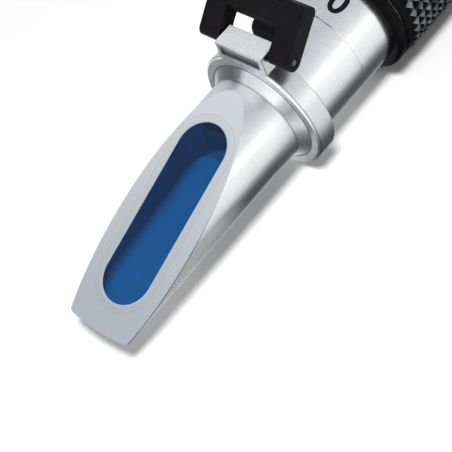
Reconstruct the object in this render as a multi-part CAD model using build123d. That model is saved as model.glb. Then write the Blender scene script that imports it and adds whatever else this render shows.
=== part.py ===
from build123d import *
import math
import os

# Handheld brix refractometer. All lengths are in millimetres and all angles in degrees.
# The pieces are built about the tube's own axis: X = 0 is the collar's front face, +X runs
# to the eyepiece and +Z is the prism's side. The last lines lay the object on the bench.

# Fits
bond_gap = 0.02
running_gap = 0.05

# Body tubes
tube_radius = 11.85
tube_wall = 1.25
front_body_wall = 2.45
front_body_length = 18.0
joint_spigot_length = 7.0
tube_end = 86.0
seam_chamfer = 0.15

# Hinge collar and its lug, whose heights are counted from the collar's outside
collar_thickness = 2.65
collar_length = 4.9
collar_chamfer = 0.5
lug_width = 11.7
lug_length = 4.85
lug_height = 3.6
lug_edge = 0.25
lug_recess_width = 10.2
lug_recess_depth = 0.5
lug_recess_drop = 1.0
lug_recess_height = 2.4
pin_x = 3.4
pin_height = 1.95
pin_radius = 0.8
pin_end_inset = 0.15

# Nose and its slanted face
nose_step = 1.45
neck_rise = 0.4
neck_length = 1.9
slant_angle = 18.8
slant_rise = 1.4
slant_length = 57.4
tip_bow_radius = 50.0
tip_rounding = 0.9
nose_spigot_length = 5.5
light_bore_radius = 5.0
light_bore_depth = 12.5
nose_groove_start = 2.2
nose_groove_width = 1.3
nose_groove_depth = 1.0

# Prism window, measured down the slanted face from above the collar's front face
window_half_width = 5.8
window_upper_centre = 17.4
window_lower_centre = 45.3
seal_width = 1.05
seal_depth = 1.2
cradle_floor_wall = 0.8
pocket_wall = 3.9
pocket_tip_depth = 3.8
prism_exit_face = 11.9
prism_exit_top = 5.2

# Bracket and daylight plate
open_angle = 41.5
bracket_leg_width = 5.14
bracket_side_gap = 0.585
bracket_inner_depth = 2.0
bracket_outer_depth = 1.6
bracket_slot_reach = 5.0
bracket_bar_length = 5.75
bracket_corner = 1.0
bracket_slot_chamfer = 0.9
plate_tongue_length = 3.25
plate_tongue_top = 1.0
plate_tongue_thickness = 1.4
plate_tongue_run = 2.5
plate_sheet_bottom = 0.6
plate_root_half_width = 6.5
plate_half_width = 8.0
plate_widening_end = 34.0
plate_tip_inset = 2.4
plate_corner = 3.5
plate_film_gap = 0.11

# Calibration screw, whose heights are counted from the tube's outside
screw_x = 10.0
screw_radius = 1.5
screw_head_rim = 0.8
screw_head_height = 1.55
screw_head_lift = 0.55
screw_slot_width = 0.5
screw_slot_depth = 0.7
insert_wall = 1.05
insert_height = 1.35
insert_chamfer = 0.2
insert_inset = 0.1
cap_wall = 1.43
cap_room = 0.55
cap_roof = 0.65
cap_rounding = 0.8

# Lens carrier with its bimetal strip
carrier_start = 7.0
carrier_length = 10.0
carrier_play = 0.8
carrier_wall = 1.0
carrier_flat_cut = 0.4
strip_width = 4.0
strip_thickness = 0.5
strip_length = 8.2
strip_inset = 0.6
strip_rise = 0.4
strip_foot_length = 2.0
rivet_radius = 0.4
rivet_hold = 0.8
rivet_spacing = 2.2
rivet_head_radius = 0.65
rivet_head_height = 0.35
cell_start = 12.0
cell_length = 4.4
cell_play = 0.3
cell_wall = 0.98
cell_lip_width = 0.62
cell_lip_length = 0.9
cell_foot_width = 3.2
cell_foot_inset = 0.4
crown_thickness = 1.4
crown_sag = 0.55
flint_thickness = 0.9
cement_sag = 0.5
cell_ring_length = 1.0
spring_thickness = 0.15
spring_length = 8.0
spring_width = 3.0

# Baffles and scale
baffle_places = (34.0, 52.0)
baffle_apertures = (5.5, 6.5)
baffle_thickness = 0.6
scale_holder_start = 66.0
scale_holder_length = 6.0
scale_holder_wall = 2.06
scale_lip_width = 1.12
scale_lip_length = 1.0
scale_thickness = 1.5
scale_ring_length = 1.6

# Rubber grip
grip_thickness = 2.65
grip_start = 27.5
grip_end_gap = 0.1
grip_lip_step = 0.45
grip_lip_length = 2.45
grip_lip_rounding = 0.9
grip_groove_width = 0.35
grip_groove_depth = 0.45
grip_band_length = 1.6

# Rear bush and focus ring
bush_inside_length = 10.0
bush_wall = 1.38
bush_flange_rise = 1.15
bush_flange_length = 2.0
bush_flange_chamfer = 0.4
hub_wall = 1.8
hub_length = 11.0
clip_rise = 1.0
clip_thickness = 0.8
clip_groove_depth = 0.4
clip_end_land = 0.2
ring_thickness = 3.2
ring_side_gap = 0.15
ring_chamfer = 0.5
ring_groove_count = 24
ring_groove_radius = 0.5
ring_groove_end_land = 1.3

# Eyepiece
barrel_wall = 1.15
barrel_start = 79.0
barrel_lip_width = 0.8
barrel_lip_length = 1.2
focus_gap = 1.8
flange_width = 4.25
flange_length = 2.4
barrel_rear_length = 1.6
drive_pin_radius = 0.4
drive_pin_inset = 1.5
drive_pin_reach = 8.1
drive_pin_seat = 1.2
drive_hole_extra = 2.0
lens_edge = 1.6
field_lens_sag = 1.2
eye_lens_sag = 1.3
lens_play = 0.1
retainer_length = 1.4
retainer_width = 1.1
cup_wall = 0.8
cup_skirt_length = 2.1
cup_waist_depth = 1.3
cup_length = 12.5
cup_rim_length = 3.4
cup_rim_wall = 1.3
cup_hollow_wall = 1.9
cup_floor_thickness = 2.0

# Worked out from the sizes above
tube_bore_radius = tube_radius - tube_wall
spigot_radius = tube_bore_radius - bond_gap
front_bore_radius = tube_radius - front_body_wall
collar_radius = tube_radius + collar_thickness
lug_top = collar_radius + lug_height
lug_recess_top = lug_top - lug_recess_drop
pin_z = collar_radius + pin_height
nose_radius = tube_radius - nose_step
neck_radius = tube_radius + neck_rise
slant_height = nose_radius + slant_rise
pocket_floor = nose_radius - pocket_wall
bracket_slot_width = lug_width + 2 * bracket_side_gap
bracket_width = bracket_slot_width + 2 * bracket_leg_width
bracket_reach = bracket_slot_reach + bracket_bar_length
plate_root = bracket_reach - plate_tongue_length
plate_tongue_bottom = plate_tongue_top - plate_tongue_thickness
insert_radius = screw_radius + insert_wall + running_gap
insert_top = tube_radius + insert_height
screw_head_radius = screw_radius + screw_head_rim
screw_head_base = insert_top + screw_head_lift
screw_head_top = screw_head_base + screw_head_height
cap_radius = insert_radius + bond_gap + cap_wall
cap_top = screw_head_top + cap_room + cap_roof
carrier_radius = front_bore_radius - carrier_play
carrier_bore_radius = carrier_radius - carrier_wall
carrier_flat = carrier_radius - carrier_flat_cut
strip_top = carrier_bore_radius - strip_rise - strip_thickness
cell_radius = strip_top - cell_play
cell_bore_radius = cell_radius - cell_wall
cell_lip_radius = cell_bore_radius - cell_lip_width
scale_holder_bore = spigot_radius - scale_holder_wall
scale_window_radius = scale_holder_bore - scale_lip_width
grip_radius = tube_radius + grip_thickness
grip_lip_radius = grip_radius - grip_lip_step
bush_bore_radius = spigot_radius - bush_wall
bush_flange_radius = tube_radius + bush_flange_rise
hub_radius = bush_bore_radius + hub_wall
clip_radius = hub_radius + clip_rise
ring_radius = hub_radius + ring_thickness
barrel_radius = bush_bore_radius - running_gap
barrel_bore_radius = barrel_radius - barrel_wall
barrel_lip_radius = barrel_bore_radius - barrel_lip_width
flange_radius = barrel_radius + flange_width
drive_pin_circle = ring_radius - drive_pin_inset
retainer_bore_radius = barrel_bore_radius - retainer_width
cup_radius = flange_radius + cup_wall
cup_waist_radius = cup_radius - cup_waist_depth
cup_hollow_radius = cup_waist_radius - cup_hollow_wall
slant_cos = math.cos(math.radians(slant_angle))
slant_sin = math.sin(math.radians(slant_angle))
slant_plane = Plane(
    origin=(0, 0, slant_height),
    x_dir=(-slant_cos, 0, -slant_sin),
    z_dir=(-slant_sin, 0, slant_cos),
)
seal_radius = window_half_width + seal_width
pin_rise = pin_z - slant_height
pin_above_face = pin_rise * slant_cos - pin_x * slant_sin
pin_along_face = -pin_rise * slant_sin - pin_x * slant_cos
hub_start = tube_end + bush_flange_length
hub_end = hub_start + hub_length
clip_start = hub_end - clip_end_land - clip_thickness
ring_start = hub_start + ring_side_gap
ring_end = clip_start - ring_side_gap
flange_start = hub_end - clip_end_land + focus_gap
flange_end = flange_start + flange_length
barrel_end = flange_end + barrel_rear_length
cup_end = flange_start + cup_length
far = 200.0


def turned(points):
    """A solid of revolution about the tube's axis from (x, radius) corners."""
    outline = Plane.XZ * Polyline(*points, close=True)
    return revolve(make_face(outline), Axis.X)


def rod(start, end, radius):
    """A plain round bar along the tube's axis."""
    return Location((start, 0, 0), (0, 90, 0)) * Cylinder(
        radius, end - start, align=(Align.CENTER, Align.CENTER, Align.MIN)
    )


def pipe(start, end, radius, bore):
    return rod(start, end, radius) - rod(start - 1, end + 1, bore)


def post(x, bottom, top, radius):
    """A plain round bar that stands up from the tube's axis at x."""
    return Pos(x, 0, bottom) * Cylinder(
        radius, top - bottom, align=(Align.CENTER, Align.CENTER, Align.MIN)
    )


def block(x_low, x_high, width, z_low, z_high):
    """A box that is centred across the object."""
    return Pos(x_low, 0, z_low) * Box(
        x_high - x_low, width, z_high - z_low, align=(Align.MIN, Align.CENTER, Align.MIN)
    )


def dome(rim_x, rim, sag):
    """One half of a lens face, from the axis to the rim; the sag is signed along X."""
    if sag == 0:
        return Line((rim_x, 0), (rim_x, rim))
    radius = (rim**2 + sag**2) / (2 * abs(sag))
    half_turn = math.asin(rim / radius) / 2
    side = math.copysign(1, sag)
    middle = (rim_x + sag - side * radius * (1 - math.cos(half_turn)), radius * math.sin(half_turn))
    return ThreePointArc((rim_x + sag, 0), middle, (rim_x, rim))


def lens(front, rear, rim, clear, front_sag, rear_sag):
    """A round glass: each face bulges by its signed sag within clear and is flat beyond it."""
    front_face = dome(front, clear, front_sag)
    rear_face = dome(rear, clear, rear_sag)
    edge = Polyline((front, clear), (front, rim), (rear, rim), (rear, clear))
    axis = Line((front + front_sag, 0), (rear + rear_sag, 0))
    outline = Plane.XZ * make_face([front_face, edge, rear_face, axis])
    return revolve(outline, Axis.X)


# Hinge collar: a ring round the body's mouth with the hinge lug on its top
def hinge_collar():
    ring = turned(
        [
            (0, tube_radius + bond_gap),
            (0, collar_radius - collar_chamfer),
            (collar_chamfer, collar_radius),
            (collar_length - collar_chamfer / 2, collar_radius),
            (collar_length, collar_radius - collar_chamfer / 2),
            (collar_length, tube_radius + bond_gap),
        ]
    )
    lug = block(0, lug_length, lug_width, 0, lug_top)
    lug = chamfer(lug.faces().sort_by(Axis.Z)[-1].edges(), lug_edge)
    lug -= rod(-1, collar_length + 1, tube_radius + bond_gap + 0.5)
    lug -= block(
        -1, lug_recess_depth, lug_recess_width, lug_recess_top - lug_recess_height, lug_recess_top
    )
    collar = ring + lug
    return collar - pin_bar(pin_radius + bond_gap / 2, lug_width + 2)


def pin_bar(radius, length):
    return Pos(pin_x, 0, pin_z) * Rot(90, 0, 0) * Cylinder(radius, length)


def hinge_pin():
    pin = pin_bar(pin_radius, bracket_width - 2 * pin_end_inset)
    return chamfer(pin.edges().filter_by(GeomType.CIRCLE), pin_radius / 4)


# Front body: the short tube under the collar, with the calibration screw's seat
def front_body():
    joint_end = front_body_length + joint_spigot_length
    body = turned(
        [
            (0, front_bore_radius),
            (0, tube_radius),
            (front_body_length - seam_chamfer, tube_radius),
            (front_body_length, tube_radius - seam_chamfer),
            (front_body_length, spigot_radius),
            (joint_end, spigot_radius),
            (joint_end, front_bore_radius),
        ]
    )
    return body - post(screw_x, 0, cap_top, insert_radius + bond_gap)


def main_tube():
    return turned(
        [
            (front_body_length, tube_bore_radius),
            (front_body_length, tube_radius - seam_chamfer),
            (front_body_length + seam_chamfer, tube_radius),
            (tube_end, tube_radius),
            (tube_end, tube_bore_radius),
        ]
    )


# Nose: a round bar cut by the slanted face, with a square end that bows forward
def nose_housing():
    bar = rod(-far / 2, 0, nose_radius)
    bow = slant_plane * Pos(slant_length - tip_bow_radius, 0, 0) * Cylinder(tip_bow_radius, far)
    above = slant_plane * Box(far, far, far, align=(Align.CENTER, Align.CENTER, Align.MIN))
    nose = (bar & bow) - above
    nose = fillet(nose.edges().filter_by(GeomType.BSPLINE), tip_rounding)
    neck = turned([(-neck_length, 0), (-neck_length, nose_radius), (0, neck_radius), (0, 0)])
    nose = nose + neck + rod(-neck_length, nose_spigot_length, front_bore_radius - bond_gap)
    nose -= rod(-light_bore_depth, nose_spigot_length + 1, light_bore_radius)
    nose -= pocket(seal_radius, pocket_tip_depth, pocket_floor, 0)
    return nose - pipe(
        nose_groove_start,
        nose_groove_start + nose_groove_width,
        front_bore_radius + 1,
        front_bore_radius - bond_gap - nose_groove_depth,
    )


def slot_bar(half_width, top, bottom):
    """An upright bar with the window's outline, between two depths under the slanted face."""
    centre = (window_upper_centre + window_lower_centre) / 2
    length = window_lower_centre - window_upper_centre
    outline = slant_plane * Pos(centre, 0, 0) * SlotCenterToCenter(length, 2 * half_width)
    walls = extrude(Pos(0, 0, far / 4) * outline, far, dir=(0, 0, -1))
    layer = slant_plane * Pos(0, 0, -bottom) * Box(
        far, far, bottom - top, align=(Align.CENTER, Align.CENTER, Align.MIN)
    )
    return walls & layer


def pocket(half_width, tip_depth, floor, top):
    """The prism's space: level floored, and as deep as tip_depth beyond the nose's middle."""
    shallow = slot_bar(half_width, top, tip_depth)
    deep = slot_bar(half_width, top, far / 4)
    deep &= block(-far, far, far, -floor, far)
    return shallow + deep


def prism_seal():
    ring = slot_bar(seal_radius - bond_gap, 0, seal_depth - bond_gap)
    return ring - slot_bar(window_half_width + bond_gap, -1, seal_depth + 1)


def prism_cradle():
    shell = pocket(
        seal_radius - bond_gap, pocket_tip_depth - bond_gap, pocket_floor - bond_gap, seal_depth
    )
    hollow = pocket(
        window_half_width + bond_gap,
        pocket_tip_depth - cradle_floor_wall,
        pocket_floor - cradle_floor_wall,
        0,
    )
    return shell - hollow - rod(-light_bore_depth - 2, 0, light_bore_radius - bond_gap)


def prism():
    glass = pocket(
        window_half_width,
        pocket_tip_depth - cradle_floor_wall - bond_gap,
        pocket_floor - cradle_floor_wall - bond_gap,
        0,
    )
    return glass - block(-prism_exit_face, far, far, -far, prism_exit_top)


def nose_ring():
    """The rubber O-ring, squeezed square by its groove and the body's bore."""
    middle = nose_groove_start + nose_groove_width / 2
    outer = front_bore_radius - bond_gap / 2
    inner = front_bore_radius - nose_groove_depth
    half = (outer - inner) / 2
    section = Plane.XZ * Pos(middle, (outer + inner) / 2) * Circle(half)
    return revolve(section, Axis.X)


# Bracket and daylight plate, drawn in the plate's own plane: x from the pin towards the
# plate's free end, z towards the face that meets the prism when shut
def plate_plane():
    angle = math.radians(open_angle)
    return Plane(
        origin=(pin_x, 0, pin_z),
        x_dir=(math.cos(angle), 0, math.sin(angle)),
        z_dir=(-math.sin(angle), 0, math.cos(angle)),
    )


def hinge_bracket():
    thickness = bracket_inner_depth + bracket_outer_depth
    middle = (bracket_inner_depth - bracket_outer_depth) / 2
    slab = block(0, bracket_reach, bracket_width, -bracket_outer_depth, bracket_inner_depth)
    eye = Pos(0, 0, middle) * Rot(90, 0, 0) * Cylinder(thickness / 2, bracket_width)
    body = slab + eye
    corners = body.edges().filter_by(Axis.Z).group_by(Axis.X)[-1]
    body = fillet(corners, bracket_corner)
    slot = block(-far, bracket_slot_reach, bracket_slot_width, -far, far)
    slope = (
        Pos(bracket_slot_reach, 0, bracket_inner_depth)
        * Rot(0, 45, 0)
        * Box(bracket_slot_chamfer * math.sqrt(2), bracket_slot_width, bracket_slot_chamfer * math.sqrt(2))
    )
    slit = block(
        plate_root,
        far,
        2 * (plate_root_half_width + bond_gap),
        plate_tongue_bottom - bond_gap,
        plate_tongue_top + bond_gap,
    )
    bore = Rot(90, 0, 0) * Cylinder(pin_radius + running_gap, far)
    return plate_plane() * (body - slot - slope - slit - bore)


def daylight_plate():
    tip = slant_length - pin_along_face - plate_tip_inset
    start = bracket_reach + bond_gap
    outline = Polyline(
        (start, -plate_root_half_width),
        (plate_widening_end, -plate_half_width),
        (tip, -plate_half_width),
        (tip, plate_half_width),
        (plate_widening_end, plate_half_width),
        (start, plate_root_half_width),
        close=True,
    )
    thickness = pin_above_face - plate_film_gap - plate_sheet_bottom
    sheet = extrude(Pos(0, 0, plate_sheet_bottom) * make_face(outline), thickness)
    ends = sheet.edges().filter_by(Axis.Z).group_by(Axis.X)[-1]
    tongue = block(
        plate_root + bond_gap,
        bracket_reach + plate_tongue_run,
        2 * plate_root_half_width,
        plate_tongue_bottom,
        plate_tongue_top,
    )
    return plate_plane() * (fillet(ends, plate_corner) + tongue)


# Calibration screw in its insert, under a rubber cap
def calibration_insert():
    insert = post(screw_x, front_bore_radius + insert_inset, insert_top, insert_radius)
    insert = chamfer(insert.faces().sort_by(Axis.Z)[-1].edges(), insert_chamfer)
    return insert - post(screw_x, 0, cap_top, screw_radius + running_gap)


def calibration_screw():
    shank = post(screw_x, carrier_flat + bond_gap, screw_head_base, screw_radius)
    head = post(screw_x, screw_head_base, screw_head_top, screw_head_radius)
    head = chamfer(head.faces().sort_by(Axis.Z)[-1].edges(), screw_slot_width / 2)
    slot = Pos(screw_x, 0, screw_head_top) * Box(far, screw_slot_width, 2 * screw_slot_depth)
    return shank + (head - slot)


def screw_cap():
    cap = post(screw_x, tube_bore_radius, cap_top, cap_radius)
    cap = fillet(cap.faces().sort_by(Axis.Z)[-1].edges(), cap_rounding)
    cap -= rod(0, front_body_length + tube_radius, tube_radius + bond_gap)
    return cap - post(screw_x, 0, cap_top - cap_roof, insert_radius + bond_gap)


# Lens carrier: the screw pushes it down against a leaf spring
def lens_carrier():
    end = carrier_start + carrier_length
    shell = pipe(carrier_start, end, carrier_radius, carrier_bore_radius)
    shell &= block(-far, far, far, -carrier_flat, carrier_flat)
    strip_bottom = strip_top + strip_thickness
    foot_start = carrier_start + strip_inset
    foot = block(
        foot_start, foot_start + strip_foot_length, strip_width, -carrier_flat, -strip_bottom
    )
    return shell + foot - rivet_shanks(rivet_radius + bond_gap)


def rivet_shanks(radius):
    """Two bars through the strip's fixed end and into the carrier's foot."""
    x = carrier_start + strip_inset + strip_foot_length / 2
    bar = post(x, -strip_top - strip_thickness - rivet_hold, -strip_top, radius)
    return [Pos(0, side * rivet_spacing / 2, 0) * bar for side in (-1, 1)]


def strip_rivets():
    head = post(
        carrier_start + strip_inset + strip_foot_length / 2,
        -strip_top,
        -strip_top + rivet_head_height,
        rivet_head_radius,
    )
    shanks = rivet_shanks(rivet_radius)
    sides = (-1, 1)
    return [s + Pos(0, k * rivet_spacing / 2, 0) * head for s, k in zip(shanks, sides)]


def bimetal_strip():
    start = carrier_start + strip_inset
    strip = block(
        start, start + strip_length, strip_width, -strip_top - strip_thickness, -strip_top
    )
    return strip - rivet_shanks(rivet_radius + bond_gap)


def lens_cell():
    end = cell_start + cell_length
    cell = turned(
        [
            (cell_start, cell_lip_radius),
            (cell_start, cell_radius),
            (end, cell_radius),
            (end, cell_bore_radius),
            (cell_start + cell_lip_length, cell_bore_radius),
            (cell_start + cell_lip_length, cell_lip_radius),
        ]
    )
    foot = block(
        cell_start + cell_foot_inset,
        min(end, carrier_start + strip_inset + strip_length) - cell_foot_inset,
        cell_foot_width,
        -strip_top,
        -(cell_radius + cell_bore_radius) / 2,
    )
    return cell + foot


def objective_places():
    crown_front = cell_start + cell_lip_length + bond_gap
    crown_rear = crown_front + crown_thickness
    flint_rear = crown_rear + bond_gap + flint_thickness
    return crown_front, crown_rear, flint_rear


def objective_crown():
    front, rear, _ = objective_places()
    return lens(front, rear, cell_bore_radius - bond_gap, cell_lip_radius, -crown_sag, cement_sag)


def objective_flint():
    _, crown_rear, rear = objective_places()
    front = crown_rear + bond_gap
    return lens(front, rear, cell_bore_radius - bond_gap, cell_lip_radius, cement_sag, 0)


def cell_ring():
    start = objective_places()[2] + bond_gap
    return pipe(start, start + cell_ring_length, cell_bore_radius - bond_gap, cell_lip_radius)


def return_spring():
    """A bowed leaf between the front body's bore and the carrier's lower flat."""
    middle = carrier_start + carrier_length / 2
    drop = math.sqrt(front_bore_radius**2 - (spring_width / 2) ** 2) - bond_gap
    low = -drop
    high = -carrier_flat - bond_gap
    ends = [(middle - spring_length / 2, low), (middle + spring_length / 2, low)]
    under = ThreePointArc(ends[0], (middle, high - spring_thickness), ends[1])
    over = ThreePointArc(
        (ends[0][0], low + spring_thickness), (middle, high), (ends[1][0], low + spring_thickness)
    )
    sides = [Line(under @ 0, over @ 0), Line(under @ 1, over @ 1)]
    leaf = Plane.XZ * make_face([under, over, *sides])
    return extrude(leaf, spring_width / 2, both=True)


# Inside the main tube
def baffles():
    pairs = zip(baffle_places, baffle_apertures)
    return [pipe(x, x + baffle_thickness, spigot_radius, bore) for x, bore in pairs]


def scale_holder():
    end = scale_holder_start + scale_holder_length
    lip_end = scale_holder_start + scale_lip_length
    return turned(
        [
            (scale_holder_start, scale_window_radius),
            (scale_holder_start, spigot_radius),
            (end, spigot_radius),
            (end, scale_holder_bore),
            (lip_end, scale_holder_bore),
            (lip_end, scale_window_radius),
        ]
    )


def scale_disc():
    start = scale_holder_start + scale_lip_length + bond_gap
    return rod(start, start + scale_thickness, scale_holder_bore - bond_gap)


def scale_ring():
    start = scale_holder_start + scale_lip_length + scale_thickness + 2 * bond_gap
    return pipe(start, start + scale_ring_length, scale_holder_bore - bond_gap, scale_window_radius)


# Rubber grip: a smooth lip, a groove and a band at each end of the knurled length
def grip_end_points():
    """(distance from the grip's end, radius) corners from the end to the knurled length."""
    groove_start = grip_lip_length
    groove_end = groove_start + grip_groove_width
    band_end = groove_end + grip_band_length
    return [
        (0, grip_lip_radius - grip_lip_rounding),
        (grip_lip_rounding * 0.3, grip_lip_radius - grip_lip_rounding * 0.3),
        (grip_lip_rounding, grip_lip_radius),
        (groove_start, grip_lip_radius),
        (groove_start, grip_lip_radius - grip_groove_depth),
        (groove_end, grip_lip_radius - grip_groove_depth),
        (groove_end, grip_lip_radius),
        (band_end, grip_lip_radius),
        (band_end + grip_lip_step, grip_radius),
    ]


def rubber_grip():
    end = tube_end - grip_end_gap
    bore = tube_radius + bond_gap
    front = [(grip_start + x, r) for x, r in grip_end_points()]
    rear = [(end - x, r) for x, r in reversed(grip_end_points())]
    return turned([(grip_start, bore), *front, *rear, (end, bore)])


# Rear bush: closes the tube, carries the focus ring outside and the eyepiece inside
def rear_bush():
    return turned(
        [
            (tube_end - bush_inside_length, bush_bore_radius),
            (tube_end - bush_inside_length, spigot_radius),
            (tube_end, spigot_radius),
            (tube_end, bush_flange_radius - bush_flange_chamfer),
            (tube_end + bush_flange_chamfer, bush_flange_radius),
            (hub_start - bush_flange_chamfer, bush_flange_radius),
            (hub_start, bush_flange_radius - bush_flange_chamfer),
            (hub_start, hub_radius),
            (clip_start - bond_gap, hub_radius),
            (clip_start - bond_gap, hub_radius - clip_groove_depth),
            (clip_start + clip_thickness + bond_gap, hub_radius - clip_groove_depth),
            (clip_start + clip_thickness + bond_gap, hub_radius),
            (hub_end, hub_radius),
            (hub_end, bush_bore_radius),
        ]
    )


def ring_clip():
    end = clip_start + clip_thickness
    clip = pipe(clip_start, end, clip_radius, hub_radius - clip_groove_depth + bond_gap)
    gap = Pos(0, 0, -clip_radius) * Box(far, clip_thickness, clip_radius)
    return clip - gap


def drive_bars(radius, start, end):
    return [Pos(0, side * drive_pin_circle, 0) * rod(start, end, radius) for side in (-1, 1)]


def focus_ring():
    ring = turned(
        [
            (ring_start, hub_radius + running_gap),
            (ring_start, ring_radius - ring_chamfer),
            (ring_start + ring_chamfer, ring_radius),
            (ring_end - ring_chamfer, ring_radius),
            (ring_end, ring_radius - ring_chamfer),
            (ring_end, hub_radius + running_gap),
        ]
    )
    groove = Pos(0, 0, ring_radius) * rod(
        ring_start + ring_groove_end_land, ring_end - ring_groove_end_land, ring_groove_radius
    )
    step = 360 / ring_groove_count
    grooves = [Rot((k + 0.5) * step, 0, 0) * groove for k in range(ring_groove_count)]
    hole_start = flange_start - drive_pin_reach - drive_hole_extra
    holes = drive_bars(drive_pin_radius + running_gap, hole_start, ring_end + 1)
    return ring - grooves - holes


# Eyepiece: barrel, two lenses and the eyecup, turned and moved by the focus ring
def eyepiece_barrel():
    barrel = turned(
        [
            (barrel_start, barrel_lip_radius),
            (barrel_start, barrel_radius),
            (flange_start, barrel_radius),
            (flange_start, flange_radius),
            (flange_end, flange_radius),
            (flange_end, barrel_radius),
            (barrel_end, barrel_radius),
            (barrel_end, barrel_bore_radius),
            (barrel_start + barrel_lip_length, barrel_bore_radius),
            (barrel_start + barrel_lip_length, barrel_lip_radius),
        ]
    )
    return barrel - drive_bars(
        drive_pin_radius + bond_gap, flange_start - 1, flange_start + drive_pin_seat
    )


def drive_pins():
    end = flange_start + drive_pin_seat - bond_gap
    return drive_bars(drive_pin_radius, flange_start - drive_pin_reach, end)


def eyepiece_places():
    """The rims of the field lens, the spacer, the eye lens and the retainer, front to rear."""
    field_front = barrel_start + barrel_lip_length + bond_gap
    field_rear = field_front + lens_edge
    ring_rear = barrel_end - lens_play
    ring_front = ring_rear - retainer_length
    eye_rear = ring_front - bond_gap
    eye_front = eye_rear - lens_edge
    return field_front, field_rear, eye_front, eye_rear, ring_front, ring_rear


def field_lens():
    front, rear = eyepiece_places()[:2]
    return lens(front, rear, barrel_bore_radius - bond_gap, barrel_lip_radius, 0, field_lens_sag)


def eye_lens():
    front, rear = eyepiece_places()[2:4]
    return lens(front, rear, barrel_bore_radius - bond_gap, barrel_lip_radius, -eye_lens_sag, 0)


def lens_spacer():
    front = eyepiece_places()[1] + bond_gap
    rear = eyepiece_places()[2] - bond_gap
    return pipe(front, rear, barrel_bore_radius - bond_gap, barrel_lip_radius)


def eyepiece_retainer():
    front, rear = eyepiece_places()[4:]
    return pipe(front, rear, barrel_bore_radius - bond_gap, retainer_bore_radius)


def eyecup():
    """Rubber: its skirt grips the barrel's flange and its rim keeps stray light off."""
    skirt_start = flange_end - cup_skirt_length
    seat = flange_radius + bond_gap
    floor = flange_end + cup_floor_thickness
    rim_start = cup_end - cup_rim_length
    waist_start = floor
    waist_end = (floor + rim_start) / 2
    edge = cup_rim_wall / 4
    return turned(
        [
            (skirt_start, seat),
            (skirt_start, cup_radius - edge),
            (skirt_start + edge, cup_radius),
            (flange_end, cup_radius),
            (waist_start, cup_waist_radius),
            (waist_end, cup_waist_radius),
            (rim_start, cup_radius),
            (cup_end - edge, cup_radius),
            (cup_end, cup_radius - edge),
            (cup_end, cup_radius - cup_rim_wall + edge),
            (cup_end - edge, cup_radius - cup_rim_wall),
            (rim_start, cup_hollow_radius),
            (floor, cup_hollow_radius),
            (floor, barrel_radius + bond_gap),
            (flange_end + bond_gap, barrel_radius + bond_gap),
            (flange_end + bond_gap, seat),
        ]
    )


pieces = {
    "hinge_collar": hinge_collar,
    "front_body": front_body,
    "main_tube": main_tube,
    "nose_housing": nose_housing,
    "nose_ring": nose_ring,
    "prism": prism,
    "prism_seal": prism_seal,
    "prism_cradle": prism_cradle,
    "hinge_pin": hinge_pin,
    "hinge_bracket": hinge_bracket,
    "daylight_plate": daylight_plate,
    "calibration_insert": calibration_insert,
    "calibration_screw": calibration_screw,
    "screw_cap": screw_cap,
    "lens_carrier": lens_carrier,
    "bimetal_strip": bimetal_strip,
    "strip_rivets": strip_rivets,
    "lens_cell": lens_cell,
    "objective_crown": objective_crown,
    "objective_flint": objective_flint,
    "cell_ring": cell_ring,
    "return_spring": return_spring,
    "baffles": baffles,
    "scale_holder": scale_holder,
    "scale_disc": scale_disc,
    "scale_ring": scale_ring,
    "rubber_grip": rubber_grip,
    "rear_bush": rear_bush,
    "ring_clip": ring_clip,
    "focus_ring": focus_ring,
    "eyepiece_barrel": eyepiece_barrel,
    "drive_pins": drive_pins,
    "field_lens": field_lens,
    "eye_lens": eye_lens,
    "lens_spacer": lens_spacer,
    "eyepiece_retainer": eyepiece_retainer,
    "eyecup": eyecup,
}

# The bench is under the collar and the grip, and the origin is at the middle of the length
bench = max(collar_radius, grip_radius)
front_end = nose_housing().bounding_box().min.X
place = Pos(-(front_end + cup_end) / 2, 0, bench)

os.makedirs("parts", exist_ok=True)
for name, make in pieces.items():
    made = make()
    solids = made if isinstance(made, list) else [made]
    export_step(Compound([s for m in solids for s in (place * m).solids()]), f"parts/{name}.step")
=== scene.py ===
import math
import bmesh
import bpy
from mathutils import Matrix, Vector


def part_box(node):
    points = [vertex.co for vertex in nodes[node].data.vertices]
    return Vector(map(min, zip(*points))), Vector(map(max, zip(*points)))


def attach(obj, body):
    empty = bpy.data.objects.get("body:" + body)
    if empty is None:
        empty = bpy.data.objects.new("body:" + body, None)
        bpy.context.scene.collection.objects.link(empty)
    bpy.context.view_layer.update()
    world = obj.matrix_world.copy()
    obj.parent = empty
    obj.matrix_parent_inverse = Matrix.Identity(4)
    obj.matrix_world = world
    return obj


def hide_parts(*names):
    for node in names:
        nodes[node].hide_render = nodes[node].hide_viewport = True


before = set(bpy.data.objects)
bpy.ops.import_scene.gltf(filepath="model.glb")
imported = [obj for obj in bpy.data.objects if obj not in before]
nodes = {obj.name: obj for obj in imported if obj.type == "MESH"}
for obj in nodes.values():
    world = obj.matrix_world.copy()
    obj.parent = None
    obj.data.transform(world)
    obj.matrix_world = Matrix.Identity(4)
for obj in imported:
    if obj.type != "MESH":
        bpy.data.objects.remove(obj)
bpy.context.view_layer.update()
MM = 0.001

# The tube's axis and the collar's front face, from the frame
FACE_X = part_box("front_body")[0][0]
AXIS_Z = (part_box("rubber_grip")[0][2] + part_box("rubber_grip")[1][2]) / 2

# Places are in mm from the collar's front face and the tube's axis, other lengths in mm, and
# angles in radians, where a line says nothing else. A pair of numbers under one name is a soft
# edge: where a change starts and where it is full.

# The slanted face: its slope, and its height over the axis at the collar's front face
SLANT = math.radians(18.8)
SLANT_HEIGHT = 11.8

# The window in the slanted face: its middle down the face, and its half sizes
WINDOW_MIDDLE = 31.35
WINDOW_HALF_STRAIGHT = 13.95
WINDOW_HALF_WIDTH = 5.8

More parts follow.
